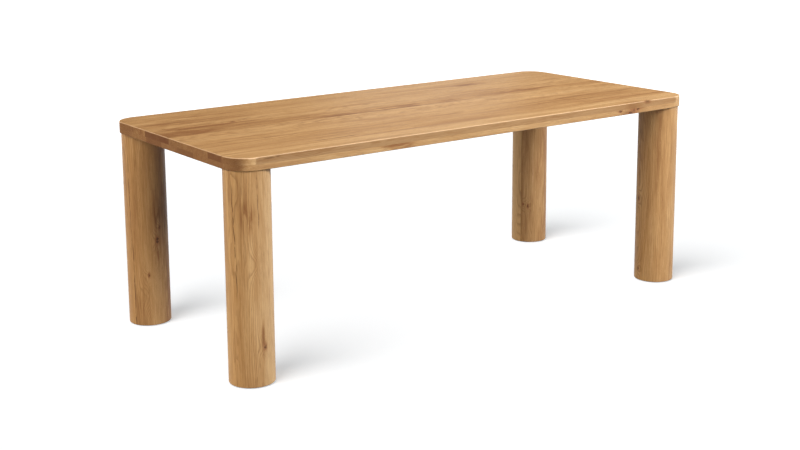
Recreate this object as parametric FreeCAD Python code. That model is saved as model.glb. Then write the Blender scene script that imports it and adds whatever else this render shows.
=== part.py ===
"""Oak dining table: glued board top with a doubled edge, on four round laminated legs.

Origin at the middle of the footprint on the floor, +X along the length, +Z up.
The front long side faces -Y. All sizes are in millimetres.
"""
import FreeCAD, Part
import os

# Table as a whole
TABLE_LENGTH = 2000.0
TABLE_WIDTH = 900.0
TABLE_HEIGHT = 740.0

# Top: a panel of edge-glued boards, thickened by a rim glued under its edges
PANEL_THICKNESS = 22.0
RIM_THICKNESS = 20.0
BOARD_COUNT = 10
END_BLOCK_COUNT = 5
RIM_BEYOND_LEG = 10.0
EDGE_ROUND = 3.0

# Legs: round, each turned from a block of three planks
LEG_DIAMETER = 150.0
LEG_INSET = 5.0
LEG_CORE_THICKNESS = 50.0
LEG_FOOT_ROUND = 3.0

# Steel plate let into the rim above each leg, and the stud that the leg screws on to
PLATE_DIAMETER = 110.0
PLATE_THICKNESS = 5.0
BOSS_DIAMETER = 24.0
BOSS_HEIGHT = 8.0
PLATE_CLEARANCE = 0.3
STUD_DIAMETER = 12.0
STUD_DEPTH_IN_LEG = 60.0
STUD_TIP = 2.0
STUD_BORE_SPARE = 2.0

# Countersunk screws that hold each plate
PLATE_SCREW_COUNT = 6
PLATE_SCREW_CIRCLE = 84.0
PLATE_SCREW_DIAMETER = 4.5
PLATE_SCREW_HEAD_DIAMETER = 9.0
PLATE_SCREW_POINT = 4.0
WOOD_OVER_PLATE_SCREW = 2.0

# Steel channels across the underside that keep the boards flat
CHANNEL_WIDTH = 40.0
CHANNEL_DEPTH = 15.0
CHANNEL_WALL = 2.5
CHANNEL_SPACING = 550.0
CHANNEL_END_GAP = 25.0
SLOT_TRAVEL = 8.0
SLOT_SIDE_CLEARANCE = 0.5
BRACE_SCREW_DIAMETER = 5.0
BRACE_SCREW_HEAD_DIAMETER = 11.0
BRACE_SCREW_HEAD_HEIGHT = 3.0
BRACE_SCREW_CROWN_DIAMETER = 7.5
BRACE_SCREW_DEPTH = 12.5
BRACE_SCREW_POINT = 4.0

# Levelling glide under each leg
FLOOR_GAP = 2.0
GLIDE_DIAMETER = 40.0
GLIDE_HEIGHT = 8.0
GLIDE_EDGE = 1.0
GLIDE_SIDE_CLEARANCE = 1.5
GLIDE_STUD_DIAMETER = 8.0
GLIDE_STUD_REACH = 33.0
GLIDE_STUD_SEAT = 5.0
GLIDE_BORE_SPARE = 3.0
GLIDE_BORE_CLEARANCE = 1.0
INSERT_DIAMETER = 12.0
INSERT_LENGTH = 25.0

# Radial clearances of a part fixed in its hole, and of the glide's thread
FIXED_FIT = 0.05
THREAD_FIT = 0.1

# Heights and places that follow from the sizes above
TOP_UNDERSIDE = TABLE_HEIGHT - PANEL_THICKNESS - RIM_THICKNESS
PANEL_UNDERSIDE = TABLE_HEIGHT - PANEL_THICKNESS
PLATE_TOP = TOP_UNDERSIDE + PLATE_THICKNESS
BOSS_TOP = PLATE_TOP + BOSS_HEIGHT
LEG_RADIUS = LEG_DIAMETER / 2
CORNER_RADIUS = LEG_RADIUS + LEG_INSET
RIM_BAND = LEG_INSET + LEG_DIAMETER + RIM_BEYOND_LEG
LEG_X = TABLE_LENGTH / 2 - CORNER_RADIUS
LEG_Y = TABLE_WIDTH / 2 - CORNER_RADIUS
BOARD_WIDTH = TABLE_WIDTH / BOARD_COUNT
CHANNEL_LENGTH = TABLE_WIDTH - 2 * RIM_BAND - 2 * CHANNEL_END_GAP
WEB_UNDERSIDE = PANEL_UNDERSIDE - CHANNEL_WALL
INSERT_TOP = GLIDE_HEIGHT + INSERT_LENGTH
GLIDE_STUD_TOP = GLIDE_HEIGHT + GLIDE_STUD_REACH

CORNERS = {
    "front_left": (-LEG_X, -LEG_Y),
    "front_right": (LEG_X, -LEG_Y),
    "back_left": (-LEG_X, LEG_Y),
    "back_right": (LEG_X, LEG_Y),
}
BRACES = {"left": -CHANNEL_SPACING, "middle": 0.0, "right": CHANNEL_SPACING}


def slab(low, high):
    """Box between two corners."""
    size = [b - a for a, b in zip(low, high)]
    return Part.makeBox(*size, FreeCAD.Vector(*low))


def turned(profile, place):
    """Solid of revolution: (radius, height) points turned about an upright axis at place."""
    points = [FreeCAD.Vector(radius, 0, height) for radius, height in profile]
    face = Part.Face(Part.makePolygon(points + points[:1]))
    solid = face.revolve(FreeCAD.Vector(0, 0, 0), FreeCAD.Vector(0, 0, 1), 360)
    solid.translate(FreeCAD.Vector(*place, 0))
    return solid


def rod(diameter, low, high, place):
    """Upright cylinder between two heights."""
    return Part.makeCylinder(diameter / 2, high - low, FreeCAD.Vector(*place, low))


def level_edges(shape, height):
    """Edges that lie wholly at one height."""
    return [
        edge for edge in shape.Edges
        if abs(edge.BoundBox.ZMin - height) < 1e-6 and abs(edge.BoundBox.ZMax - height) < 1e-6
    ]


def whole_top():
    """The top before it is divided: round corners in plan and a soft arris above and below."""
    half = (TABLE_LENGTH / 2, TABLE_WIDTH / 2)
    block = slab((-half[0], -half[1], TOP_UNDERSIDE), (half[0], half[1], TABLE_HEIGHT))
    upright = [edge for edge in block.Edges if edge.BoundBox.ZLength > PANEL_THICKNESS]
    block = block.makeFillet(CORNER_RADIUS, upright)
    arris = level_edges(block, TABLE_HEIGHT) + level_edges(block, TOP_UNDERSIDE)
    return block.makeFillet(EDGE_ROUND, arris)


def plate_screw(place, clearance=0.0):
    """Countersunk screw, flush with the plate's underside and pointing up into the rim."""
    shank = PLATE_SCREW_DIAMETER / 2 + clearance
    head = PLATE_SCREW_HEAD_DIAMETER / 2 + clearance
    tip = PANEL_UNDERSIDE - WOOD_OVER_PLATE_SCREW
    return turned([
        (0, TOP_UNDERSIDE),
        (head, TOP_UNDERSIDE),
        (shank, TOP_UNDERSIDE + head - shank),
        (shank, tip - PLATE_SCREW_POINT),
        (0, tip + clearance),
    ], place)


def brace_screw(place, clearance=0.0):
    """Pan-head screw up through a channel's web into one board."""
    shank = BRACE_SCREW_DIAMETER / 2 + clearance
    head = BRACE_SCREW_HEAD_DIAMETER / 2
    tip = PANEL_UNDERSIDE + BRACE_SCREW_DEPTH
    return turned([
        (0, WEB_UNDERSIDE - BRACE_SCREW_HEAD_HEIGHT),
        (BRACE_SCREW_CROWN_DIAMETER / 2, WEB_UNDERSIDE - BRACE_SCREW_HEAD_HEIGHT),
        (head, WEB_UNDERSIDE - BRACE_SCREW_HEAD_HEIGHT / 2),
        (head, WEB_UNDERSIDE),
        (shank, WEB_UNDERSIDE),
        (shank, tip - BRACE_SCREW_POINT),
        (0, tip + clearance),
    ], place)


def leg_stud(place):
    """Stud fixed in the top of a leg, standing up through the plate's threaded boss."""
    radius = STUD_DIAMETER / 2
    foot = TOP_UNDERSIDE - STUD_DEPTH_IN_LEG
    return turned([
        (0, foot),
        (radius - STUD_TIP, foot),
        (radius, foot + STUD_TIP),
        (radius, BOSS_TOP - STUD_TIP),
        (radius - STUD_TIP, BOSS_TOP),
        (0, BOSS_TOP),
    ], place)


def screw_places(place):
    """Centres of one plate's screws, turned half a step so that none meets a glue line."""
    step = 360.0 / PLATE_SCREW_COUNT
    spoke = FreeCAD.Vector(PLATE_SCREW_CIRCLE / 2, 0, 0)
    places = []
    for number in range(PLATE_SCREW_COUNT):
        turn = FreeCAD.Rotation(FreeCAD.Vector(0, 0, 1), step * (number + 0.5))
        arm = turn.multVec(spoke)
        places.append((place[0] + arm.x, place[1] + arm.y))
    return places


def leg_plate(place):
    """Round plate with a threaded boss on its upper side and countersunk holes."""
    bore = STUD_DIAMETER / 2 + FIXED_FIT
    plate = turned([
        (bore, TOP_UNDERSIDE),
        (PLATE_DIAMETER / 2, TOP_UNDERSIDE),
        (PLATE_DIAMETER / 2, PLATE_TOP),
        (BOSS_DIAMETER / 2, PLATE_TOP),
        (BOSS_DIAMETER / 2, BOSS_TOP),
        (bore, BOSS_TOP),
    ], place)
    return plate.cut([plate_screw(hole, FIXED_FIT) for hole in screw_places(place)])


def plate_pocket(place):
    """Space that a plate, its boss and its screws take out of the rim."""
    pocket = turned([
        (0, TOP_UNDERSIDE),
        (PLATE_DIAMETER / 2 + PLATE_CLEARANCE, TOP_UNDERSIDE),
        (PLATE_DIAMETER / 2 + PLATE_CLEARANCE, PLATE_TOP),
        (BOSS_DIAMETER / 2 + PLATE_CLEARANCE, PLATE_TOP),
        (BOSS_DIAMETER / 2 + PLATE_CLEARANCE, BOSS_TOP),
        (0, BOSS_TOP),
    ], place)
    return pocket.fuse([plate_screw(hole, FIXED_FIT) for hole in screw_places(place)])


def whole_leg(place):
    """A leg before it is divided into planks, with its stud bore, glide recess and insert bore."""
    leg = rod(LEG_DIAMETER, FLOOR_GAP, TOP_UNDERSIDE, place)
    leg = leg.makeFillet(LEG_FOOT_ROUND, level_edges(leg, FLOOR_GAP))
    stud_foot = TOP_UNDERSIDE - STUD_DEPTH_IN_LEG - STUD_BORE_SPARE
    stud_bore = rod(STUD_DIAMETER + 2 * FIXED_FIT, stud_foot, TOP_UNDERSIDE, place)
    recess = rod(GLIDE_DIAMETER + 2 * GLIDE_SIDE_CLEARANCE, FLOOR_GAP, GLIDE_HEIGHT, place)
    insert_bore = rod(INSERT_DIAMETER + 2 * FIXED_FIT, GLIDE_HEIGHT, INSERT_TOP, place)
    room_diameter = GLIDE_STUD_DIAMETER + 2 * GLIDE_BORE_CLEARANCE
    stud_room = rod(room_diameter, INSERT_TOP, GLIDE_STUD_TOP + GLIDE_BORE_SPARE, place)
    return leg.cut([stud_bore, recess, insert_bore, stud_room])


def leg_planks(place):
    """The leg's three planks: the outer one faces the nearer long side of the table."""
    leg = whole_leg(place)
    outward = 1 if place[1] > 0 else -1
    joint = LEG_CORE_THICKNESS / 2
    spans = {
        "outer": (joint, LEG_RADIUS),
        "core": (-joint, joint),
        "inner": (-LEG_RADIUS, -joint),
    }
    planks = {}
    for plank, span in spans.items():
        low, high = sorted(place[1] + outward * offset for offset in span)
        blank = slab((place[0] - LEG_RADIUS, low, 0), (place[0] + LEG_RADIUS, high, TOP_UNDERSIDE))
        planks[plank] = leg.common(blank)
    return planks


def glide_insert(place):
    """Threaded sleeve in the foot of a leg."""
    bore = GLIDE_STUD_DIAMETER / 2 + THREAD_FIT
    outside = INSERT_DIAMETER / 2
    return turned([
        (bore, GLIDE_HEIGHT),
        (outside, GLIDE_HEIGHT),
        (outside, INSERT_TOP),
        (bore, INSERT_TOP),
    ], place)


def glide_base(place):
    """Plastic foot that stands on the floor, with a socket for its stud."""
    radius = GLIDE_DIAMETER / 2
    socket = GLIDE_STUD_DIAMETER / 2 + FIXED_FIT
    return turned([
        (0, 0),
        (radius - GLIDE_EDGE, 0),
        (radius, GLIDE_EDGE),
        (radius, GLIDE_HEIGHT - GLIDE_EDGE),
        (radius - GLIDE_EDGE, GLIDE_HEIGHT),
        (socket, GLIDE_HEIGHT),
        (socket, GLIDE_HEIGHT - GLIDE_STUD_SEAT),
        (0, GLIDE_HEIGHT - GLIDE_STUD_SEAT),
    ], place)


def glide_stud(place):
    """Threaded stud of a glide, up through the leg's insert."""
    radius = GLIDE_STUD_DIAMETER / 2
    return turned([
        (0, GLIDE_HEIGHT - GLIDE_STUD_SEAT),
        (radius, GLIDE_HEIGHT - GLIDE_STUD_SEAT),
        (radius, GLIDE_STUD_TOP - GLIDE_EDGE),
        (radius - GLIDE_EDGE, GLIDE_STUD_TOP),
        (0, GLIDE_STUD_TOP),
    ], place)


def board_edges(number):
    """Front and back face of one board of the panel, counted from the front."""
    front = -TABLE_WIDTH / 2 + number * BOARD_WIDTH
    return front, front + BOARD_WIDTH


def brace_screw_rows():
    """One row of screws down the middle of each board that a channel crosses fully."""
    rows = []
    for number in range(BOARD_COUNT):
        front, back = board_edges(number)
        if front > -CHANNEL_LENGTH / 2 and back < CHANNEL_LENGTH / 2:
            rows.append((front + back) / 2)
    return rows


def brace_channel(x):
    """U-section channel, web against the boards, with a slot at each screw for wood movement."""
    side = CHANNEL_WIDTH / 2
    half = CHANNEL_LENGTH / 2
    lip = PANEL_UNDERSIDE - CHANNEL_DEPTH
    channel = slab((x - side, -half, lip), (x + side, half, PANEL_UNDERSIDE))
    inside = side - CHANNEL_WALL
    hollow = slab((x - inside, -half, lip), (x + inside, half, WEB_UNDERSIDE))
    slot_width = BRACE_SCREW_DIAMETER + 2 * SLOT_SIDE_CLEARANCE
    slots = []
    for y in brace_screw_rows():
        ends = (y - SLOT_TRAVEL / 2, y + SLOT_TRAVEL / 2)
        slots.append(slab((x - slot_width / 2, ends[0], WEB_UNDERSIDE),
                          (x + slot_width / 2, ends[1], PANEL_UNDERSIDE)))
        slots += [rod(slot_width, WEB_UNDERSIDE, PANEL_UNDERSIDE, (x, end)) for end in ends]
    return channel.cut([hollow] + slots)


def top_boards(top):
    """Boards of the panel, drilled for the channels' screws."""
    panel = top.common(slab((-TABLE_LENGTH, -TABLE_WIDTH, PANEL_UNDERSIDE),
                            (TABLE_LENGTH, TABLE_WIDTH, TABLE_HEIGHT)))
    boards = {}
    for number in range(BOARD_COUNT):
        front, back = board_edges(number)
        board = panel.common(slab((-TABLE_LENGTH, front, PANEL_UNDERSIDE),
                                  (TABLE_LENGTH, back, TABLE_HEIGHT)))
        holes = [
            brace_screw((x, y), FIXED_FIT)
            for x in BRACES.values() for y in brace_screw_rows() if front < y < back
        ]
        boards[f"top_board_{number + 1}"] = board.cut(holes) if holes else board
    return boards


def rim_pieces(top):
    """Strips along the long sides and short-grain blocks along the ends, under the panel."""
    half_length = TABLE_LENGTH / 2
    half_width = TABLE_WIDTH / 2
    rim = top.common(slab((-half_length, -half_width, TOP_UNDERSIDE),
                          (half_length, half_width, PANEL_UNDERSIDE)))
    rim = rim.cut([plate_pocket(place) for place in CORNERS.values()])
    glue_line = half_width - RIM_BAND / 2
    inside = half_width - RIM_BAND
    blanks = {
        "front_rim_outer": ((-half_length, -half_width), (half_length, -glue_line)),
        "front_rim_inner": ((-half_length, -glue_line), (half_length, -inside)),
        "back_rim_inner": ((-half_length, inside), (half_length, glue_line)),
        "back_rim_outer": ((-half_length, glue_line), (half_length, half_width)),
    }
    block_width = 2 * inside / END_BLOCK_COUNT
    for number in range(END_BLOCK_COUNT):
        low = -inside + number * block_width
        high = low + block_width
        blanks[f"left_end_block_{number + 1}"] = ((-half_length, low), (RIM_BAND - half_length, high))
        blanks[f"right_end_block_{number + 1}"] = ((half_length - RIM_BAND, low), (half_length, high))
    return {
        name: rim.common(slab((*low, TOP_UNDERSIDE), (*high, PANEL_UNDERSIDE)))
        for name, (low, high) in blanks.items()
    }


def table():
    """Every piece of the table by name."""
    top = whole_top()
    pieces = {**top_boards(top), **rim_pieces(top)}
    for corner, place in CORNERS.items():
        for plank, solid in leg_planks(place).items():
            pieces[f"{corner}_leg_{plank}"] = solid
        pieces[f"{corner}_leg_plate"] = leg_plate(place)
        pieces[f"{corner}_glide_base"] = glide_base(place)
        pieces[f"{corner}_glide_stud"] = glide_stud(place)
    for brace, x in BRACES.items():
        pieces[f"brace_channel_{brace}"] = brace_channel(x)
    places = list(CORNERS.values())
    groups = {
        "leg_studs": [leg_stud(place) for place in places],
        "plate_screws": [plate_screw(hole) for place in places for hole in screw_places(place)],
        "brace_screws": [brace_screw((x, y)) for x in BRACES.values() for y in brace_screw_rows()],
        "glide_inserts": [glide_insert(place) for place in places],
    }
    pieces.update({name: Part.makeCompound(solids) for name, solids in groups.items()})
    return pieces


os.makedirs("parts", exist_ok=True)
for name, shape in table().items():
    shape.exportStep(f"parts/{name}.step")
    print(f"{name}: {len(shape.Solids)} solid(s), {shape.Volume / 1000:.1f} cm3")
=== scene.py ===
# %% [markdown]
# # An oak dining table
# The table is already built as a frame: every board, strip, plank and screw sits at its real place, in
# metres, with +X along the length, the front towards -Y and +Z up. This lesson gives that frame its
# looks. We never move or reshape a board. We give it oak, and we add the small pieces that are easier
# to make as surfaces.

# %% Load the frame
import math
import random
from typing import NamedTuple

import bpy
import numpy as np
from mathutils import Matrix, Vector


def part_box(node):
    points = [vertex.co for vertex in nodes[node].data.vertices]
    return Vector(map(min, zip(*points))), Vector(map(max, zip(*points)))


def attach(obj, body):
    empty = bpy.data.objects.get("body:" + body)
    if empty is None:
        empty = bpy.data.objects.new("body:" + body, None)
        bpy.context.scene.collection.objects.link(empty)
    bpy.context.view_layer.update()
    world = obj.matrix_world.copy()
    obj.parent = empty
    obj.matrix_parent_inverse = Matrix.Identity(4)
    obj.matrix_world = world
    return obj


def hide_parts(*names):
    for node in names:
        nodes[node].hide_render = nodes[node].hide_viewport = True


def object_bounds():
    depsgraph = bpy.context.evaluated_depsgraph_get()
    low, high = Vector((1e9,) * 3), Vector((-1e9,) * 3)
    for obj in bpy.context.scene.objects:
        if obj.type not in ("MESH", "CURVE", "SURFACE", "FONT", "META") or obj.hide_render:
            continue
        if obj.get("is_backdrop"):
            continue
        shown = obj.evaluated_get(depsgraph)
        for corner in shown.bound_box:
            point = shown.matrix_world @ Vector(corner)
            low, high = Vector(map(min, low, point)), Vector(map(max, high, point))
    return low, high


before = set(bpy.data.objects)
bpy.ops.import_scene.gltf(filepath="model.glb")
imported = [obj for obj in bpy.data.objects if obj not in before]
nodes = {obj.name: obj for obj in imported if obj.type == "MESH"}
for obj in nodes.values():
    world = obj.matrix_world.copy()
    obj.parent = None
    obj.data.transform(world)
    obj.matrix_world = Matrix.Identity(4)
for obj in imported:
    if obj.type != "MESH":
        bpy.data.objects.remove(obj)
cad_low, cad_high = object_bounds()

print("pieces in the frame:", len(nodes), "box:", cad_low[:], cad_high[:])

# %% [markdown]
# ## The camera
# A product picture of a table is taken from above sitting height, a little to the left of the front
# corner. A wide lens close by would stretch the near leg, so a long lens stands further back and keeps
# the far legs nearly as tall as the near ones. A small downward shift of the lens keeps the legs more
# upright than tilting the camera alone would.

# %% Camera
IMAGE_WIDTH_PX = 800
FOCAL_PX = 1293.8
SENSOR_MM = 36.0
LENS_SHIFT = (0.0258, -0.12)
CAMERA_PLACE = Vector((-2.8458, -3.7990, 1.5406))
CAMERA_YAW = math.radians(35.34)
CAMERA_PITCH = math.radians(10.558)
CAMERA_ROLL = math.radians(-0.537)

camera_data = bpy.data.cameras.new("camera")
camera_data.sensor_width = SENSOR_MM
camera_data.lens = FOCAL_PX * SENSOR_MM / IMAGE_WIDTH_PX
camera_data.shift_x, camera_data.shift_y = LENS_SHIFT
camera = bpy.data.objects.new("camera", camera_data)
aim = Matrix.Rotation(-CAMERA_YAW, 4, "Z") @ Matrix.Rotation(math.pi / 2 - CAMERA_PITCH, 4, "X")
camera.matrix_world = Matrix.Translation(CAMERA_PLACE) @ aim @ Matrix.Rotation(CAMERA_ROLL, 4, "Z")
bpy.context.scene.collection.objects.link(camera)
bpy.context.scene.camera = camera
print("camera lens:", round(camera_data.lens, 2), "mm")

# %% [markdown]
# ## Writing shader maths as sums
# A wood texture is mostly arithmetic: distances, waves and masks. Linking dozens of Math nodes by hand
# hides the formula, so a small class wraps a node's socket and lets us write the formula itself. Each
# operator adds one node, and `node` makes any other kind of node from its settings and inputs.

# %% The socket wrapper
class Field:
    """A value that changes over a surface: one output socket, with arithmetic that adds nodes."""

    def __init__(self, tree, socket):
        self.tree = tree
        self.socket = socket

    def node(self, kind, settings=None, output=0, **inputs):
        """Adds a node: its settings first, then its inputs by name, or by number as in _0."""
        made = self.tree.nodes.new("ShaderNode" + kind)
        for key, value in (settings or {}).items():
            if key == "stops":
                ramp = made.color_ramp
                while len(ramp.elements) < len(value):
                    ramp.elements.new(0.5)
                for element, (place, colour) in zip(ramp.elements, value):
                    element.position = place
                    element.color = colour
            else:
                setattr(made, key, value)
        for key, value in inputs.items():
            slot = made.inputs[int(key[1:]) if key[0] == "_" else key]
            if isinstance(value, Field):
                self.tree.links.new(value.socket, slot)
            else:
                slot.default_value = value
        return Field(self.tree, made.outputs[output])

    def math(self, operation, *others):
        """A Math node on this value and the others."""
        inputs = {f"_{i}": value for i, value in enumerate((self, *others))}
        return self.node("Math", {"operation": operation}, **inputs)

    def __add__(self, other):
        return self.math("ADD", other)

    def __sub__(self, other):
        return self.math("SUBTRACT", other)

    def __rsub__(self, other):
        return (self * -1.0).math("ADD", other)

    def __mul__(self, other):
        return self.math("MULTIPLY", other)

    __radd__ = __add__
    __rmul__ = __mul__

    def smooth(self, low, high):
        """0 below low, 1 above high, with a soft step between."""
        settings = {"interpolation_type": "SMOOTHSTEP"}
        return self.node("MapRange", settings, Value=self, _1=low, _2=high)

    def mix(self, other, amount):
        """This colour mixed with another by an amount from 0 to 1."""
        return self.node("Mix", {"data_type": "RGBA"}, output=2, _0=amount, _6=self, _7=other)

    def split(self):
        """The X, Y and Z of a vector."""
        made = self.node("SeparateXYZ", Vector=self).socket.node
        return [Field(self.tree, socket) for socket in made.outputs]

    def normal(self):
        """The surface normal in the piece's own axes, from the node that gives the coordinates."""
        return Field(self.tree, self.socket.node.outputs["Normal"])


# %% New materials
def new_material(name):
    """A material with one surface shader: returns it, its shader and its Object coordinates."""
    material = bpy.data.materials.new(name)
    material.use_nodes = True
    tree = material.node_tree
    shader = tree.nodes["Principled BSDF"]
    place = Field(tree, tree.nodes.new("ShaderNodeTexCoord").outputs["Object"])
    return material, shader, place


def feed(shader, **inputs):
    """Sets or links the shader's inputs, with spaces written as underscores."""
    for key, value in inputs.items():
        slot = shader.inputs[key.replace("_", " ")]
        if isinstance(value, Field):
            value.tree.links.new(value.socket, slot)
        else:
            slot.default_value = value


def paint(piece_name, material):
    """Puts a material in every slot of a piece of the frame."""
    for slot in nodes[piece_name].material_slots:
        slot.material = material


# %% [markdown]
# ## Oak as a solid
# A board is a slice of a tree, so its figure on the face, the edge and the end all come from the same
# growth rings. We could paint lines on each face, but they would not meet at the corners. Instead the
# colour is a function of the place inside the log. First we need that place: metres along the grain,
# and the two directions across it. Streaks, pores and rays are noise that is drawn out along the grain,
# and a bell, a soft ellipsoid, marks a spot.

# %% A place inside a plank
ALONG_X, ALONG_Z = 0, 2


class Plank:
    """A place inside one piece of oak: metres along the grain, and the two directions across it."""

    def __init__(self, place, grain, seed):
        self.place = place
        self.grain = grain
        self.draw = random.Random(seed)
        across = [axis for axis in range(3) if axis != grain]
        parts = place.split()
        self.along, self.side, self.depth = (parts[axis] for axis in (grain, *across))

    def noise(self, width, stretch, detail=2.0, distortion=0.0):
        """Noise with blotches about width metres across, and stretch times as long along the grain."""
        scale = [1.0 / width] * 3
        scale[self.grain] /= stretch
        start = [self.draw.uniform(-40, 40) for _ in range(3)]
        moved = self.place.node("Mapping", Vector=self.place, Location=start, Scale=scale)
        return self.place.node("TexNoise", Vector=moved, Scale=1.0, Detail=detail, Distortion=distortion)

    def bell(self, centre, reach, ragged=0.0):
        """exp(-(distance / reach)^2), with its own reach each way; ragged shifts the square by noise."""
        fields = (self.along, self.side, self.depth)
        gaps = [(field - middle) * (1.0 / size) for field, middle, size in zip(fields, centre, reach)]
        square = gaps[0] * gaps[0] + gaps[1] * gaps[1] + gaps[2] * gaps[2]
        return ((square + ragged) * -1.0).math("EXPONENT")


def most(masks):
    """The largest of several masks."""
    top, *others = masks
    for mask in others:
        top = top.math("MAXIMUM", mask)
    return top


def total(masks):
    """The sum of several masks."""
    first, *others = masks
    for mask in others:
        first = first + mask
    return first


# %% [markdown]
# ## Knots, flames, painted shade and cracks
# Oak of this grade shows knots, dark flames of heartwood and short cracks along the grain. Noise alone
# would scatter them anywhere. The eye knows a table by these marks, so each is placed one by one, and noise
# only makes its edge ragged. A place is (along the grain, side, depth) in metres: (x, y, z) on a board,
# and (z, x, y) on a leg.

# %% Marks in the wood
class Knot(NamedTuple):
    """A knot with its size in metres and the darkness of its heart, or none for a swirl alone."""
    place: tuple
    size: float
    darkness: float = 1.0


class FlameAndPaintedShade(NamedTuple):
    """A streak with its reach along and across the grain: darker, or lighter below zero. Most are flames of
    heartwood; a few broad dark ones are painted shade.
    """
    place: tuple
    reach: tuple
    strength: float


class Crack(NamedTuple):
    """A crack from one place to another. `across` is the direction that its width is measured in."""
    begin: tuple
    end: tuple
    width: float
    across: str = "side"


def knot_swirls(plank, knots):
    """Where the rings crowd round a knot: the largest exp(-d^2) of a wide reach."""
    return most([
        plank.bell(knot.place, (8.0 * knot.size, 4.0 * knot.size, 4.0 * knot.size)) for knot in knots
    ])


def knot_hearts(plank, knots):
    """Dark hearts with a ragged edge: noise is added to the square of the distance in exp(-d^2)."""
    hearts = []
    for place, size, darkness in knots:
        ragged = (plank.noise(width=size * 0.7, stretch=1.6, detail=3.0) - 0.5) * 2.4
        heart = plank.bell(place, (2.0 * size, size, size), ragged)
        hearts.append(heart.math("MINIMUM", 1.0) * darkness)
    return most(hearts)


def flame_and_painted_shade(plank, flames):
    """How much the flames and the painted shade darken: the sum of strength times exp(-d^2)."""
    deep = 0.2
    return total([plank.bell(streak.place, (*streak.reach, deep)) * streak.strength for streak in flames])


def crack_lines(plank, cracks):
    """Thin broken lines: exp(-(gap / width)^2) of the gap to a line that drifts by noise."""
    lines = []
    for begin, end, width, across in cracks:
        axis = ("along", "side", "depth").index(across)
        slope = (end[axis] - begin[axis]) / (end[0] - begin[0])
        drift = (plank.noise(width=0.03, stretch=2.0) - 0.5) * 0.008
        line_start = begin[axis] - slope * begin[0]
        gap = (getattr(plank, across) + drift - line_start - plank.along * slope) * (1.0 / width)
        middle = [(a + b) / 2 for a, b in zip(begin, end)]
        reach = (abs(end[0] - begin[0]) * 0.62, 0.045, 0.045)
        beads = plank.noise(width=0.006, stretch=5.0).smooth(0.36, 0.5)
        stretch_of_crack = plank.bell(middle, reach).smooth(0.25, 0.6)
        lines.append((gap * gap * -1.0).math("EXPONENT") * stretch_of_crack * beads)
    return most(lines)


# %% [markdown]
# ## Growth rings
# A ring is the distance to the pith, a line that runs along the grain close to the board. Drawing
# straight lines would be easier, but they look printed. Because this pith leans and wanders, the face
# cuts the rings at a low angle and they open into arches, and at the board's end they show as arcs of
# end grain. Every ring begins with a dark line of large pores and fades into smooth late wood.

# %% Rings
RING_SPACING = (0.0036, 0.0056)
PITH_REACH = (0.05, 0.11)
PITH_LEAN = 0.04


def ring_distance(plank, knots):
    """Distance from a pith that leans and wanders, plus exp(-d^2) where a knot pushes the rings."""
    draw = plank.draw
    angle = draw.uniform(0, 2 * math.pi)
    reach = draw.uniform(*PITH_REACH)
    lean = [draw.uniform(-PITH_LEAN, PITH_LEAN) for _ in range(2)]
    wander = [(plank.noise(width=0.10, stretch=4.0) - 0.5) * 0.045 for _ in range(2)]
    ripple = (plank.noise(width=0.022, stretch=5.0) - 0.5) * 0.006
    gap_side = plank.side + plank.along * lean[0] + wander[0] - reach * math.cos(angle)
    gap_depth = plank.depth + plank.along * lean[1] + wander[1] - reach * math.sin(angle)
    distance = (gap_side * gap_side + gap_depth * gap_depth).math("SQRT") + ripple
    for place, size, _ in knots:
        push = plank.bell(place, (5.0 * size, 2.8 * size, 2.8 * size))
        distance = distance + push * (2.4 * size)
    return distance


def ring_lines(plank, knots):
    """A soft pulse at the start of each ring, broken into dashes, and stronger round a knot."""
    distance = ring_distance(plank, knots)
    spacing = plank.draw.uniform(*RING_SPACING)
    phase = (distance * (1.0 / spacing)).math("FRACT")
    dashes = plank.noise(width=0.0016, stretch=16.0).smooth(0.35, 0.65)
    pulse = phase.smooth(0.0, 0.10) * (1.0 - phase.smooth(0.12, 0.62))
    strength = plank.noise(width=0.05, stretch=7.0).smooth(0.3, 0.7) * 0.7 + 0.3
    if knots:
        strength = strength + knot_swirls(plank, knots) * 0.45
    return pulse * strength * (dashes * 0.5 + 0.5)


# %% [markdown]
# ## The finish of oiled oak
# Oil makes oak warm and leaves it with a soft gloss. The ground colour runs from dark to light by the
# sum of three noises, fine, middling and broad, because real oak varies at all three scales. One noise
# would look like cloth. Ring lines, pores, pale ray flecks and the marks go over it. Where a face cuts
# across the grain, the wood takes up more oil, so end grain is darker and duller. The upper arrises of
# the top get a painted highlight, a pale line where their rounded edge would catch the light.

# %% Oak
EARLY_WOOD = (0.230, 0.105, 0.036, 1)
DARK_OAK = (0.280, 0.125, 0.043, 1)
MID_OAK = (0.480, 0.268, 0.105, 1)
LIGHT_OAK = (0.650, 0.412, 0.188, 1)
RUDDY_OAK = (0.300, 0.120, 0.045, 1)
RAY_FLECK = (0.70, 0.47, 0.235, 1)
PORE = (0.13, 0.055, 0.02, 1)
KNOT = (0.060, 0.024, 0.010, 1)
END_GRAIN = (0.150, 0.056, 0.021, 1)
# The colour of a painted highlight on the upper arrises.
PAINTED_ARRIS_HIGHLIGHT = (0.86, 0.62, 0.40, 1)
OAK_STOPS = ((0.12, DARK_OAK), (0.5, MID_OAK), (0.88, LIGHT_OAK))
OAK_GLOSS = 0.26
OAK_ROUGHNESS = 0.47


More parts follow.
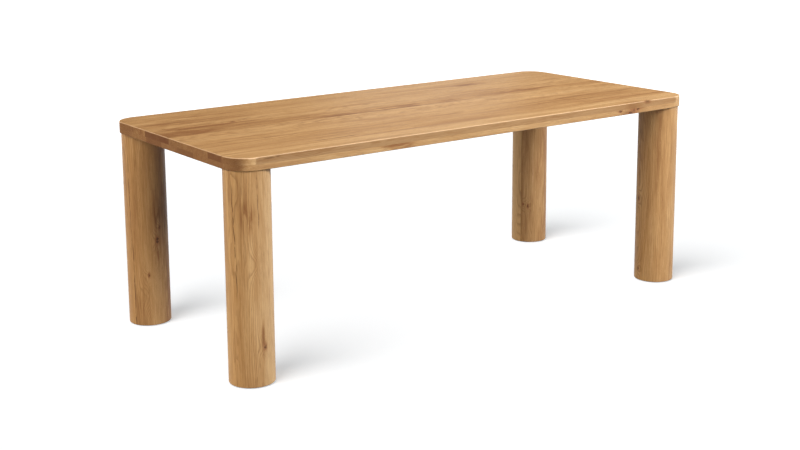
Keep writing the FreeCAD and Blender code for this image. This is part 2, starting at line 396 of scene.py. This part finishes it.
def grow(plank, run, knots):
    """Gives a plank the fields of its figure. run is how far its streaks are drawn out."""
    plank.ring = ring_lines(plank, knots)
    plank.fine = plank.noise(width=0.0042, stretch=26.0 * run, detail=2.0)
    plank.middling = plank.noise(width=0.016, stretch=14.0 * run, detail=3.0, distortion=0.3)
    plank.broad = plank.noise(width=0.065, stretch=5.5 * run, detail=4.0, distortion=0.5)
    plank.pore = plank.noise(width=0.0011, stretch=30.0, detail=1.0).smooth(0.58, 0.72)
    plank.fleck = plank.noise(width=0.004, stretch=3.0, detail=1.0).smooth(0.66, 0.78)
    plank.broken = plank.noise(width=0.012, stretch=7.0, detail=3.0, distortion=0.5).smooth(0.36, 0.62)
    plank.cut_across = plank.place.normal().split()[plank.grain].math("ABSOLUTE").smooth(0.35, 0.8)


def ground_colour(plank, tone, figure, flames):
    """A ramp from dark to light oak by the level, then ruddy patches, ray flecks and ring lines."""
    ground = (plank.fine - 0.5) * 0.55 + (plank.middling - 0.5) * 0.65 + (plank.broad - 0.5) * 0.65
    level = ground * figure + (tone + 0.55)
    if flames:
        level = level - flame_and_painted_shade(plank, flames) * (plank.broken * 1.1 + 0.25)
    colour = plank.place.node("ValToRGB", {"stops": OAK_STOPS}, Fac=level)
    colour = colour.mix(RUDDY_OAK, plank.broad.smooth(0.5, 0.75) * plank.broken * 0.3)
    colour = colour.mix(RAY_FLECK, plank.fleck * 0.22)
    return colour.mix(EARLY_WOOD, plank.ring * 0.6)


def cut_and_highlit(plank, colour, end):
    """Darker where the face cuts across the grain, with pores all over and a painted highlight on the upper
    arrises.
    """
    cut_colour = colour.mix(END_GRAIN, 0.64 - end * 0.75).mix(PORE, plank.ring * 0.5)
    colour = colour.mix(cut_colour, plank.cut_across)
    colour = colour.mix(PORE, plank.pore * 0.34)
    if plank.grain == ALONG_X:
        # Painted highlight: upper arrises, whose normal rises between the side and the top, turn pale as if
        # they caught the light.
        rise = plank.place.normal().split()[2]
        arris_highlight = rise.smooth(0.25, 0.6) * (1.0 - rise.smooth(0.8, 0.97))
        colour = colour.mix(PAINTED_ARRIS_HIGHLIGHT, arris_highlight * 0.75)
    return colour


def oak(name, grain, seed, tone=0.0, end=0.0, figure=1.0, run=1.0, knots=(), flames=(), cracks=(), joints=()):
    """Oak with its grain along axis number `grain`.

    The tone and end lighten or darken the long faces and the end grain. The tone is mostly the wood's own,
    and on the back right leg it is painted light and shade. figure is how strongly the ground colour varies.
    joints are the places across the grain where a glue line shows.
    """
    material, shader, place = new_material(name)
    plank = Plank(place, grain, seed)
    grow(plank, run, knots)
    colour = cut_and_highlit(plank, ground_colour(plank, tone, figure, flames), end)
    height = plank.ring * -0.5 - plank.pore
    if knots:
        heart = knot_hearts(plank, knots)
        colour = colour.mix(RUDDY_OAK, heart.smooth(0.0, 0.5) * 0.75)
        colour = colour.mix(KNOT, heart.smooth(0.45, 1.0) * 0.85)
    if cracks:
        crack = crack_lines(plank, cracks)
        colour = colour.mix(KNOT, crack * 0.85)
        height = height - crack * 2.0
    for joint in joints:
        hairline = 1.0 - (plank.side - joint).math("ABSOLUTE").smooth(0.0004, 0.0011)
        colour = colour.mix(EARLY_WOOD, hairline * 0.6)
    dull = plank.cut_across * 0.3 + plank.pore * 0.2 + (plank.middling - 0.5) * 0.2
    bump = place.node("Bump", Strength=0.15, Distance=0.001, Height=height)
    feed(shader, Base_Color=colour, Roughness=OAK_ROUGHNESS + dull, Normal=bump)
    feed(shader, Specular_IOR_Level=OAK_GLOSS)
    return material


# %% [markdown]
# ## The boards of the top
# Ten boards are glued edge to edge, and each came from another place in the log. One material for the
# whole top would hide the joints, so each board has its own seed, tone and end-grain tone. The boards
# near the middle carry the dark flames of heartwood and a few small knots. Broad weak flames near the
# left end of boards 5 and 7 to 10 are painted shade, which darkens the top towards that end.

# %% Boards in oak
TOP = cad_high[2]
FRONT = cad_low[1]
BOARD_FIGURE, BOARD_RUN = 1.25, 2.0


def on_top(along, across):
    """A place on the top face."""
    return along, across, TOP


def on_front(along, height):
    """A place on the front edge."""
    return along, FRONT, height


BOARD_LOOKS = {
    1: dict(
        tone=0.09, end=-0.05,
        flames=[
            FlameAndPaintedShade(on_front(0.70, 0.72), (0.05, 0.03), 0.5),
            FlameAndPaintedShade(on_front(-0.2, 0.73), (0.9, 0.012), -0.40),
        ],
        knots=[Knot((0.775, -0.4485, 0.7375), 0.008)],
        cracks=[Crack(on_front(-0.91, 0.732), on_front(-0.85, 0.735), 0.0024, across="depth")],
    ),
    2: dict(
        tone=-0.06, end=-0.3,
        flames=[FlameAndPaintedShade(on_top(0.75, -0.315), (0.35, 0.03), 0.2)],
        cracks=[Crack(on_top(-0.63, -0.337), on_top(-0.49, -0.333), 0.0022)],
    ),
    3: dict(tone=-0.02, end=0.15, flames=[FlameAndPaintedShade(on_top(0.6, -0.24), (0.3, 0.03), 0.2)]),
    4: dict(
        tone=0.05, end=0.1,
        flames=[
            FlameAndPaintedShade(on_top(0.65, -0.16), (0.25, 0.02), 0.2),
            FlameAndPaintedShade(on_top(-0.25, -0.12), (0.18, 0.035), 0.15),
        ],
    ),
    5: dict(
        tone=0.08, end=0.0,
        flames=[
            FlameAndPaintedShade(on_top(-0.3, -0.03), (0.2, 0.02), 0.15),
            # Painted shade: a broad weak flame that darkens the top towards its left end.
            FlameAndPaintedShade(on_top(-1.0, -0.03), (0.22, 0.05), 0.2),
        ],
    ),
    6: dict(
        tone=-0.03, end=-0.3,
        flames=[
            FlameAndPaintedShade(on_top(-0.98, 0.04), (0.20, 0.05), 0.55),
            FlameAndPaintedShade(on_top(-0.1, 0.006), (0.60, 0.008), 0.4),
            FlameAndPaintedShade(on_top(-0.32, 0.02), (0.09, 0.016), 0.5),
            FlameAndPaintedShade(on_top(-0.02, 0.03), (0.12, 0.025), 0.5),
            FlameAndPaintedShade(on_top(0.20, 0.03), (0.04, 0.02), 0.45),
            FlameAndPaintedShade(on_top(0.53, 0.05), (0.14, 0.03), 0.45),
        ],
        cracks=[Crack(on_top(-0.75, 0.003), on_top(0.05, 0.003), 0.0010)],
    ),
    7: dict(
        tone=0.02, end=-0.3,
        flames=[
            FlameAndPaintedShade(on_top(-0.78, 0.115), (0.14, 0.014), 0.5),
            # Painted shade: a broad weak flame that darkens the top towards its left end.
            FlameAndPaintedShade(on_top(-0.92, 0.14), (0.25, 0.06), 0.25),
        ],
        knots=[Knot(on_top(-0.687, 0.137), 0.006), Knot(on_top(-0.65, 0.152), 0.003, 0.8)],
        cracks=[Crack(on_top(-0.66, 0.170), on_top(-0.60, 0.170), 0.0012)],
    ),
    # Painted shade: a broad weak flame that darkens the top towards its left end.
    8: dict(tone=0.07, end=0.3, flames=[FlameAndPaintedShade(on_top(-0.9, 0.22), (0.25, 0.06), 0.25)]),
    9: dict(
        tone=0.01, end=0.0,
        flames=[
            # Painted shade: a broad weak flame that darkens the top towards its left end.
            FlameAndPaintedShade(on_top(-0.8, 0.31), (0.3, 0.06), 0.22),
            FlameAndPaintedShade(on_top(0.5, 0.29), (0.08, 0.03), 0.45),
        ],
    ),
    # Painted shade: a broad weak flame that darkens the top towards its left end.
    10: dict(tone=0.06, end=0.0, flames=[FlameAndPaintedShade(on_top(-0.9, 0.41), (0.3, 0.06), 0.15)]),
}
for number, looks in BOARD_LOOKS.items():
    board = f"top_board_{number}"
    low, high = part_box(board)
    board_oak = oak(
        f"oak_board_{number}", ALONG_X, seed=number, figure=BOARD_FIGURE, run=BOARD_RUN,
        joints=(low[1], high[1]), **looks,
    )
    paint(board, board_oak)
print("boards painted:", len(BOARD_LOOKS))

# %% [markdown]
# ## The doubled edge
# A rim under the panel makes the top look twice as thick. Along the sides it is strips, and at the ends
# it is short blocks with their grain the same way as the boards, so that rim and panel swell together.
# A single frame with mitres would be simpler, but it would split the top. The end face then shows two
# rows of end grain in uneven tones, which we give block by block.

# %% Rim strips and end blocks in oak
RIM_SEED = 20
BLOCK_SEEDS = {"left": 30, "right": 40}
RIM_LOOKS = {
    "front_rim_outer": dict(
        tone=0.03,
        knots=[
            Knot(on_front(0.700, 0.711), 0.012, 0.75),
            Knot(on_front(0.684, 0.704), 0.007),
            Knot(on_front(0.722, 0.715), 0.006),
            Knot(on_front(0.63, 0.714), 0.005),
        ],
        flames=[
            FlameAndPaintedShade(on_front(-0.39, 0.705), (0.06, 0.05), 0.5),
            FlameAndPaintedShade(on_front(0.70, 0.71), (0.06, 0.05), 0.4),
        ],
    ),
    "front_rim_inner": {},
    "back_rim_inner": {},
    "back_rim_outer": dict(tone=-0.02),
}
BLOCK_END_TONES = {"left": (0.1, -0.2, 0.0, -0.2, 0.2), "right": (0.0, 0.2, -0.2, 0.1, -0.1)}

for number, (strip, looks) in enumerate(RIM_LOOKS.items()):
    paint(strip, oak(f"oak_{strip}", ALONG_X, seed=RIM_SEED + number, **looks))
for side_name, tones in BLOCK_END_TONES.items():
    for number, end_tone in enumerate(tones, start=1):
        block = f"{side_name}_end_block_{number}"
        paint(block, oak(f"oak_{block}", ALONG_X, seed=BLOCK_SEEDS[side_name] + number, end=end_tone))
print("rim strips painted:", len(RIM_LOOKS), "end blocks:", sum(map(len, BLOCK_END_TONES.values())))

# %% [markdown]
# ## The legs
# A leg this thick is turned from three planks glued face to face, because a single round of oak would
# crack as it dries. The grain stands upright, and each plank has its own rings, so the glue lines show
# as upright seams. The larger cracks and knots face the front left, where the table is seen most. The
# back legs carry some painted light and shade as well, in plank tones and broad dark streaks.

# %% Leg planks in oak
CORNER_NAMES = ("front_left", "front_right", "back_left", "back_right")
PLANK_NAMES = ("outer", "core", "inner")
LEG_SEED, SEEDS_PER_LEG = 50, 5
LEG_LOOKS = {
    "front_left_leg_core": dict(tone=0.08),
    "front_left_leg_outer": dict(
        tone=0.04,
        knots=[Knot((0.133, -0.912, -0.445), 0.007, 0.85), Knot((0.40, -0.93, -0.445), 0.008, 0.0)],
        flames=[
            FlameAndPaintedShade((0.56, -0.957, -0.435), (0.05, 0.02), 0.45),
            FlameAndPaintedShade((0.165, -0.918, -0.445), (0.05, 0.006), 0.5),
            FlameAndPaintedShade((0.35, -0.885, -0.44), (0.5, 0.03), -0.18),
        ],
        cracks=[
            Crack((0.635, -0.990, -0.397), (0.337, -0.985, -0.407), 0.0014, across="depth"),
            Crack((0.67, -0.927, -0.4446), (0.53, -0.925, -0.4446), 0.0010),
        ],
    ),
    "front_right_leg_outer": dict(tone=-0.09),
    "front_right_leg_core": dict(
        tone=-0.02,
        knots=[Knot((0.333, 0.848, -0.349), 0.006), Knot((0.048, 0.846, -0.357), 0.005)],
    ),
    "back_left_leg_core": dict(
        tone=-0.04,
        cracks=[Crack((0.60, -0.990, 0.349), (0.30, -0.989, 0.347), 0.0010, across="depth")],
    ),
    "back_left_leg_inner": dict(
        tone=-0.08,
        knots=[
            Knot((0.314, -0.915, 0.295), 0.008),
            Knot((0.36, -0.905, 0.297), 0.005, 0.8),
            Knot((0.19, -0.95, 0.301), 0.005, 0.9),
            Knot((0.11, -0.94, 0.299), 0.014, 0.0),
        ],
        flames=[
            FlameAndPaintedShade((0.42, -0.915, 0.295), (0.06, 0.012), 0.5),
            FlameAndPaintedShade((0.27, -0.915, 0.295), (0.05, 0.010), 0.4),
            # Painted shade: a broad dark streak down the inner, right side of the back left leg, where it
            # faces under the table.
            FlameAndPaintedShade((0.37, -0.853, 0.33), (0.7, 0.035), 0.6),
        ],
        cracks=[Crack((0.27, -0.989, 0.340), (0.02, -0.988, 0.341), 0.0014, across="depth")],
    ),
    # Painted light and shade on the back right leg: the core plank, on its left side, and the outer plank are
    # lightened as painted light, and the inner plank is darkened and carries a broad dark streak on its right
    # side as painted shade.
    "back_right_leg_outer": dict(tone=0.26),
    "back_right_leg_core": dict(tone=0.34),
    "back_right_leg_inner": dict(
        tone=-0.13,
        flames=[FlameAndPaintedShade((0.37, 0.945, 0.30), (0.7, 0.035), 0.18)],
        knots=[Knot((0.165, 0.866, 0.318), 0.005), Knot((0.172, 0.854, 0.335), 0.004, 0.9)],
    ),
}
leg_planks = [f"{corner}_leg_{plank_name}" for corner in CORNER_NAMES for plank_name in PLANK_NAMES]
for number, leg_plank in enumerate(leg_planks):
    leg_number, plank_number = divmod(number, len(PLANK_NAMES))
    leg_seed = LEG_SEED + SEEDS_PER_LEG * leg_number + plank_number
    paint(leg_plank, oak(f"oak_{leg_plank}", ALONG_Z, seed=leg_seed, **LEG_LOOKS.get(leg_plank, {})))
print("leg planks painted:", len(leg_planks))

# %% [markdown]
# ## Turned pieces
# Screws, studs and feet are all turned on an axis. Blender's Spin tool could make them, but then a
# thread or a drive recess would need cutting afterwards. So each is one grid: a row is a ring, and
# letting the radius change with the angle turns a plain ring into a star, a scallop or a thread.

# %% Turned surfaces
def turned_mesh(name, radius, height, centres):
    """One mesh of copies of a turned surface.

    radius and height are grids, ring by angle. A point is (radius cos a, radius sin a, height), and
    the first and last rings are closed by a fan to their centre. Copies stand at the given places.
    """
    rings, steps = radius.shape
    angle = np.linspace(0, 2 * np.pi, steps, endpoint=False)
    skin = np.stack([radius * np.cos(angle), radius * np.sin(angle), height], axis=-1).reshape(-1, 3)
    poles = np.array([[0, 0, height[0].mean()], [0, 0, height[-1].mean()]])
    points = np.concatenate([skin, poles])
    here = np.arange(rings * steps).reshape(rings, steps)
    beside = np.roll(here, -1, axis=1)
    walls = np.stack([here[:-1], beside[:-1], beside[1:], here[1:]], axis=-1).reshape(-1, 4)
    first = np.stack([beside[0], here[0], np.full(steps, rings * steps)], axis=-1)
    last = np.stack([here[-1], beside[-1], np.full(steps, rings * steps + 1)], axis=-1)
    centres = np.asarray(centres, float)
    shift = len(points) * np.arange(len(centres))[:, None, None]
    everywhere = (points[None] + centres[:, None]).reshape(-1, 3)
    quads = (walls[None] + shift).reshape(-1, 4)
    fans = (np.concatenate([first, last])[None] + shift).reshape(-1, 3)
    mesh = bpy.data.meshes.new(name)
    mesh.from_pydata(everywhere.tolist(), [], quads.tolist() + fans.tolist())
    mesh.update()
    piece = bpy.data.objects.new(name, mesh)
    bpy.context.scene.collection.objects.link(piece)
    return piece


def threaded(radius, depth, pitch, low, high, steps, rows):
    """Rings of a thread: the radius follows a triangle wave of (angle - height / pitch)."""
    height = np.linspace(low, high, rows)[:, None] + np.zeros((1, steps))
    angle = np.arange(steps)[None] / steps
    wave = np.abs(((angle - height / pitch) % 1.0) * 2 - 1)
    return radius - depth * wave, height


def middle(name, axis):
    """The middle of a piece of the frame along one axis."""
    low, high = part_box(name)
    return (low[axis] + high[axis]) / 2


# %% [markdown]
# ## The channel screws
# Three black steel channels keep the boards flat. Their screws go through slots, one to a board, so that
# the wood can still swell. A cylinder with a bump map would do from afar, but these heads are seen from
# below, so they get a real drive recess, a dome and a thread.

# %% Channel screws
SCREW_STEPS, THREAD_ROWS = 36, 42
DRIVE_LOBES, LOBE_SHARE, DRIVE_RADIUS, DRIVE_DEPTH = 6, 0.13, 0.0021, 0.0016
HEAD_HEIGHT, DOME_SHARE = 0.003, 0.72
SHANK_RADIUS, THREAD_DEPTH, SCREW_PITCH = 0.0025, 0.0005, 0.0022
POINT_LENGTH, POINT_STEP = 0.003, 0.001

channel_names = [f"brace_channel_{which}" for which in ("left", "middle", "right")]
channel_low, channel_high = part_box(channel_names[0])
braced_boards = [
    board for board in (f"top_board_{number}" for number in BOARD_LOOKS)
    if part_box(board)[0][1] > channel_low[1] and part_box(board)[1][1] < channel_high[1]
]
screw_rows = [middle(board, axis=1) for board in braced_boards]
screw_columns = [middle(name, axis=0) for name in channel_names]
screw_low, screw_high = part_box("brace_screws")
head_radius = screw_high[0] - screw_columns[-1]
screw_length = screw_high[2] - screw_low[2]


def screw_grid():
    """Drive recess, domed head, flat seat, threaded shank and point as one list of rings, upwards.

    The recess has the radius r (1 + s cos 6a). From its rim t = 0 to the head's rim t = 1, the dome
    rises by t^2.4, and the point narrows evenly.
    """
    turn = np.arange(SCREW_STEPS) / SCREW_STEPS * 2 * np.pi
    ring = np.ones((1, SCREW_STEPS))
    lobe = DRIVE_RADIUS * (1 + LOBE_SHARE * np.cos(DRIVE_LOBES * turn))[None]
    spread = np.linspace(0.15, 1, 4)[:, None]
    sweep = np.linspace(0, 1, 9)[:, None]
    seat = np.array([head_radius, head_radius * 0.75, SHANK_RADIUS])[:, None]
    taper = np.linspace(0.8, 0.08, 4)[:, None]
    thread_top = screw_length - POINT_LENGTH - POINT_STEP
    parts = (
        (lobe * spread, np.full_like(spread, DRIVE_DEPTH)),
        (lobe, ring * DRIVE_DEPTH * 0.3),
        (lobe * (1 - sweep) + head_radius * sweep, HEAD_HEIGHT * DOME_SHARE * sweep ** 2.4),
        (seat, np.full_like(seat, HEAD_HEIGHT)),
        threaded(SHANK_RADIUS, THREAD_DEPTH, SCREW_PITCH, HEAD_HEIGHT, thread_top, SCREW_STEPS, THREAD_ROWS),
        (SHANK_RADIUS * taper, np.linspace(screw_length - POINT_LENGTH, screw_length, 4)[:, None]),
    )
    radius = np.concatenate([part_radius * ring for part_radius, _ in parts])
    height = np.concatenate([part_height * ring for _, part_height in parts])
    return radius, height


screw_places = [(x, y, screw_low[2]) for x in screw_columns for y in screw_rows]
channel_screws = turned_mesh("channel_screws", *screw_grid(), screw_places)
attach(channel_screws, "table")
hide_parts("brace_screws")
print("channel screws:", len(screw_places))

# %% [markdown]
# ## The levelling glides
# No floor is flat, so each leg stands on a foot that screws in and out of it. At rest it is sunk in the
# leg, and wound out it shows a scalloped rim for the fingers and a threaded stud. Each half rides on the
# glide's own body, so both come down together.

# %% Levelling glides
GLIDE_STEPS, GLIDE_SCALLOPS, SCALLOP_DEPTH = 96, 24, 0.0006
STUD_STEPS, STUD_ROWS, STUD_PITCH, STUD_THREAD_DEPTH = 32, 180, 0.00125, 0.0007


def glide_foot_grid(low, high):
    """A flat foot: rings of (inset, height, share of the scallop), less a scallop of 1 + cos 24a."""
    outer = (high[0] - low[0]) / 2
    tall = high[2] - low[2]
    turn = np.arange(GLIDE_STEPS) / GLIDE_STEPS * 2 * np.pi
    scallop = SCALLOP_DEPTH * (1 + np.cos(GLIDE_SCALLOPS * turn))[None]
    profile = np.array([
        (0.0185, 0.0006, 0.0),
        (0.0150, 0.0, 0.0),
        (0.0022, 0.0, 0.0),
        (0.0008, 0.0003, 0.5),
        (0.0001, 0.0010, 1.0),
        (0.0, 0.0018, 1.0),
        (0.0, tall - 0.0018, 1.0),
        (0.0002, tall - 0.0008, 1.0),
        (0.0010, tall, 0.5),
        (0.0040, tall, 0.0),
        (0.0159, tall, 0.0),
    ])
    inset, rise, carved = profile.T[:, :, None]
    return outer - inset - carved * scallop, rise + np.zeros((1, GLIDE_STEPS))


glide_feet, glide_studs = [], []
for corner in CORNER_NAMES:
    base_low, base_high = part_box(f"{corner}_glide_base")
    stud_low, stud_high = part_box(f"{corner}_glide_stud")
    centre = [middle(f"{corner}_glide_base", axis) for axis in (0, 1)]
    foot_grid = glide_foot_grid(base_low, base_high)
    foot = turned_mesh(f"{corner}_glide_foot", *foot_grid, [(*centre, base_low[2])])
    stud_radius = (stud_high[0] - stud_low[0]) / 2
    stud_length = stud_high[2] - stud_low[2]
    thread = threaded(stud_radius, STUD_THREAD_DEPTH, STUD_PITCH, 0.0, stud_length, STUD_STEPS, STUD_ROWS)
    stud = turned_mesh(f"{corner}_glide_thread", *thread, [(*centre, stud_low[2])])
    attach(foot, f"{corner}_glide")
    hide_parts(f"{corner}_glide_base")
    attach(stud, f"{corner}_glide")
    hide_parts(f"{corner}_glide_stud")
    glide_feet.append(foot)
    glide_studs.append(stud)
print("glides:", len(glide_feet), "with studs of", round(stud_length * 1000), "mm")


# %% [markdown]
# ## Steel and plastic finishes
# Bright zinc, black powder coat, rolled steel and moulded plastic are plain at arm's length, but none is
# one flat colour close by: zinc has pale crystals and a powder coat has a fine orange peel. One function
# covers them all, with fine noise between two colours that also lifts the roughness and the bump.

# %% Steel and plastic
SHARP_EDGE = math.radians(40)


def speckled(name, dark, light, scale, rough, metallic=0.0, bump=0.1):
    """A plain finish with fine grain: noise mixes two greys and lifts the roughness and the bump."""
    material, shader, place = new_material(name)
    grain = place.node("TexNoise", Vector=place, Scale=scale, Detail=3.0)
    settings = {"data_type": "RGBA"}
    colour = place.node("Mix", settings, output=2, _0=grain.smooth(0.3, 0.7), _6=dark, _7=light)
    relief = place.node("Bump", Strength=bump, Distance=0.0004, Height=grain)
    feed(shader, Base_Color=colour, Roughness=grain * 0.2 + (rough - 0.1), Metallic=metallic, Normal=relief)
    return material


zinc = speckled(
    "bright_zinc", (0.42, 0.42, 0.42, 1), (0.66, 0.66, 0.65, 1), scale=260.0, rough=0.34, metallic=1.0,
)
powder_coat = speckled(
    "black_powder_coat", (0.018, 0.018, 0.02, 1), (0.05, 0.05, 0.053, 1), scale=900.0, rough=0.5, bump=0.35,
)
black_plastic = speckled(
    "black_plastic", (0.014, 0.014, 0.014, 1), (0.03, 0.03, 0.03, 1), scale=1400.0, rough=0.6, bump=0.25,
)
rolled_steel = speckled(
    "rolled_steel", (0.25, 0.25, 0.26, 1), (0.45, 0.45, 0.46, 1), scale=120.0, rough=0.4, metallic=1.0,
)
for name in channel_names:
    paint(name, powder_coat)
for corner in CORNER_NAMES:
    paint(f"{corner}_leg_plate", rolled_steel)
for name in ("leg_studs", "plate_screws", "glide_inserts"):
    paint(name, zinc)
for piece in (channel_screws, *glide_studs):
    piece.data.materials.append(zinc)
for piece in glide_feet:
    piece.data.materials.append(black_plastic)
for piece in (channel_screws, *glide_studs, *glide_feet):
    piece.data.shade_smooth()
    piece.data.set_sharp_from_angle(angle=SHARP_EDGE)
print("finishes of steel and plastic:", zinc.name, powder_coat.name, black_plastic.name, rolled_steel.name)

# %% [markdown]
# ## The floor
# Furniture on white stands on a floor that looks white everywhere but in the shadows. A plain white floor
# throws so much light back up that the legs lose their shape. So this floor gives about half of its white
# as its own light, a little cool to make up for the warm light off the wood, and more towards the horizon.
# It is hidden from the light that bounces between surfaces.

# %% Floor
FLOOR_HALF = 30.0
FLOOR_WHITE, HORIZON_GLOW = 0.70, 1.0
FLOOR_GLOW = (0.50, 0.52, 0.535, 1)
GLOW_FROM, GLOW_TO = 1.5, 6.0

corner_signs = np.array([(-1, -1), (1, -1), (1, 1), (-1, 1)], float)
floor_points = np.column_stack([corner_signs * FLOOR_HALF, np.zeros(4)])
floor_mesh = bpy.data.meshes.new("floor")
floor_mesh.from_pydata(floor_points.tolist(), [], [(0, 1, 2, 3)])
floor = bpy.data.objects.new("floor", floor_mesh)
bpy.context.scene.collection.objects.link(floor)
floor_material, floor_shader, floor_place = new_material("pale_floor")
floor_x, floor_y, _ = floor_place.split()
outwards = (floor_x * floor_x + floor_y * floor_y).math("SQRT").smooth(GLOW_FROM, GLOW_TO)
far_glow = (HORIZON_GLOW, HORIZON_GLOW, HORIZON_GLOW, 1)
settings = {"data_type": "RGBA"}
glow = floor_place.node("Mix", settings, output=2, _0=outwards, _6=FLOOR_GLOW, _7=far_glow)
feed(floor_shader, Base_Color=(FLOOR_WHITE, FLOOR_WHITE, FLOOR_WHITE, 1), Roughness=0.9)
feed(floor_shader, Specular_IOR_Level=0.0, Emission_Color=glow, Emission_Strength=1.0)
floor_mesh.materials.append(floor_material)
floor.visible_diffuse = False
floor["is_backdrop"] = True
print("floor half width:", FLOOR_HALF)

# %% [markdown]
# ## The backdrop
# Seen from low down, the view goes past the floor's edge. A bright world would fix that, but it would also
# light the table from all sides. A tall white wall round the floor fills the view instead, and it is
# hidden from every ray but the camera's.

# %% Backdrop
BACKDROP_RADIUS, BACKDROP_HEIGHT, BACKDROP_STEPS = 25.0, 30.0, 64

turn = np.linspace(0, 2 * np.pi, BACKDROP_STEPS, endpoint=False)
foot_ring = np.column_stack([np.cos(turn), np.sin(turn), np.zeros(BACKDROP_STEPS)]) * BACKDROP_RADIUS
wall_points = np.concatenate([foot_ring, foot_ring + (0, 0, BACKDROP_HEIGHT)])
here = np.arange(BACKDROP_STEPS)
beside = np.roll(here, -1)
wall_faces = np.stack([beside, here, here + BACKDROP_STEPS, beside + BACKDROP_STEPS], axis=-1)
backdrop_mesh = bpy.data.meshes.new("backdrop")
backdrop_mesh.from_pydata(wall_points.tolist(), [], wall_faces.tolist())
backdrop = bpy.data.objects.new("backdrop", backdrop_mesh)
bpy.context.scene.collection.objects.link(backdrop)
backdrop_material, backdrop_shader, _ = new_material("white_backdrop")
feed(backdrop_shader, Base_Color=(0, 0, 0, 1), Emission_Color=(1, 1, 1, 1), Emission_Strength=HORIZON_GLOW)
backdrop_mesh.materials.append(backdrop_material)
backdrop.visible_diffuse = False
backdrop.visible_glossy = False
backdrop.visible_shadow = False
backdrop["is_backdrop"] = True
print("backdrop radius:", BACKDROP_RADIUS)

# %% [markdown]
# ## Light
# The key is a large soft box in front on the right, slightly cool and close enough that its light falls
# off towards the left end. Wide warm lights fill the other sides, so that shade on the oak stays warm,
# and a small box low at the back puts a sheen on the top. If they all lit the floor too, each would throw
# its own shadow there. Light linking lets them light the table alone, and one more light, which only the
# floor receives and only the legs block, gives one soft shadow to each leg.

# %% Groups for light linking
def light_group(name, pieces, state):
    """A collection that a light includes or leaves out, by its state for each piece."""
    group = bpy.data.collections.new(name)
    for piece in pieces:
        group.objects.link(piece)
    for member in group.collection_objects:
        member.light_linking.link_state = state
    return group


all_but_floor = light_group("all_but_floor", [floor], "EXCLUDE")
floor_alone = light_group("floor_alone", [floor], "INCLUDE")
legs_alone = light_group("legs_alone", [nodes[leg_plank] for leg_plank in leg_planks], "INCLUDE")


# %% Lights
COOL, WARM, WHITE = (0.95, 1.0, 1.12), (1.0, 0.89, 0.74), (1.0, 1.0, 1.0)
FAR = 6.0


def hang_light(name, kind, azimuth, elevation, distance, energy, colour):
    """A light that shines at the table's middle and not at the floor, and shows in no reflection.

    In degrees, it stands towards (sin azimuth cos elevation, cos azimuth cos elevation, sin elevation),
    so azimuth 0 is behind the table and 90 is at its right end.
    """
    a, e = math.radians(azimuth), math.radians(elevation)
    direction = Vector((math.sin(a) * math.cos(e), math.cos(a) * math.cos(e), math.sin(e)))
    data = bpy.data.lights.new(name, kind)
    data.energy = energy
    data.color = colour
    lamp = bpy.data.objects.new(name, data)
    lamp.visible_glossy = False
    lamp.light_linking.receiver_collection = all_but_floor
    lamp.location = (cad_low + cad_high) / 2 + direction * distance
    lamp.rotation_euler = direction.to_track_quat("Z", "Y").to_euler()
    bpy.context.scene.collection.objects.link(lamp)
    return lamp


def soft_box(name, azimuth, elevation, distance, energy, colour, size):
    """A square light close by, with its side in metres."""
    lamp = hang_light(name, "AREA", azimuth, elevation, distance, energy, colour)
    lamp.data.size = size
    return lamp


def far_light(name, azimuth, elevation, energy, colour, spread):
    """A light as wide as a bright part of the sky, with its spread in degrees."""
    lamp = hang_light(name, "SUN", azimuth, elevation, FAR, energy, colour)
    lamp.data.angle = math.radians(spread)
    return lamp


soft_box("key", azimuth=150, elevation=32.5, distance=7.5, energy=720, colour=COOL, size=3.0)
sheen = soft_box("sheen", azimuth=38, elevation=12, distance=4.0, energy=6, colour=WHITE, size=1.2)
sheen.visible_glossy = True
far_light("fill", azimuth=262, elevation=30, energy=1.62, colour=WARM, spread=30)
far_light("back_left", azimuth=-48, elevation=36, energy=1.05, colour=WARM, spread=40)
far_light("back_right", azimuth=70, elevation=40, energy=0.6, colour=WARM, spread=40)
far_light("low_fill", azimuth=240, elevation=10, energy=0.7, colour=WARM, spread=40)
floor_light = far_light("floor_light", azimuth=252, elevation=58, energy=2.35, colour=WHITE, spread=32)
floor_light.light_linking.receiver_collection = floor_alone
floor_light.light_linking.blocker_collection = legs_alone
print("lights:", len(bpy.data.lights))

# %% World and view
WORLD_COLOUR, WORLD_STRENGTH = (1, 0.95, 0.9, 1), 0.12

world = bpy.data.worlds.new("studio")
world.use_nodes = True
world.node_tree.nodes["Background"].inputs["Color"].default_value = WORLD_COLOUR
world.node_tree.nodes["Background"].inputs["Strength"].default_value = WORLD_STRENGTH
bpy.context.scene.world = world
bpy.context.scene.view_settings.view_transform = "Standard"
print("world strength:", WORLD_STRENGTH)

# %% [markdown]
# ## Sizes and finish
# The looks must not make the table larger. So we write down the box of the frame, which was kept at the
# start, and the box of the dressed table.

# %% Sizes and finish
low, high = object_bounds()
print("dressed table:", low[:], high[:])
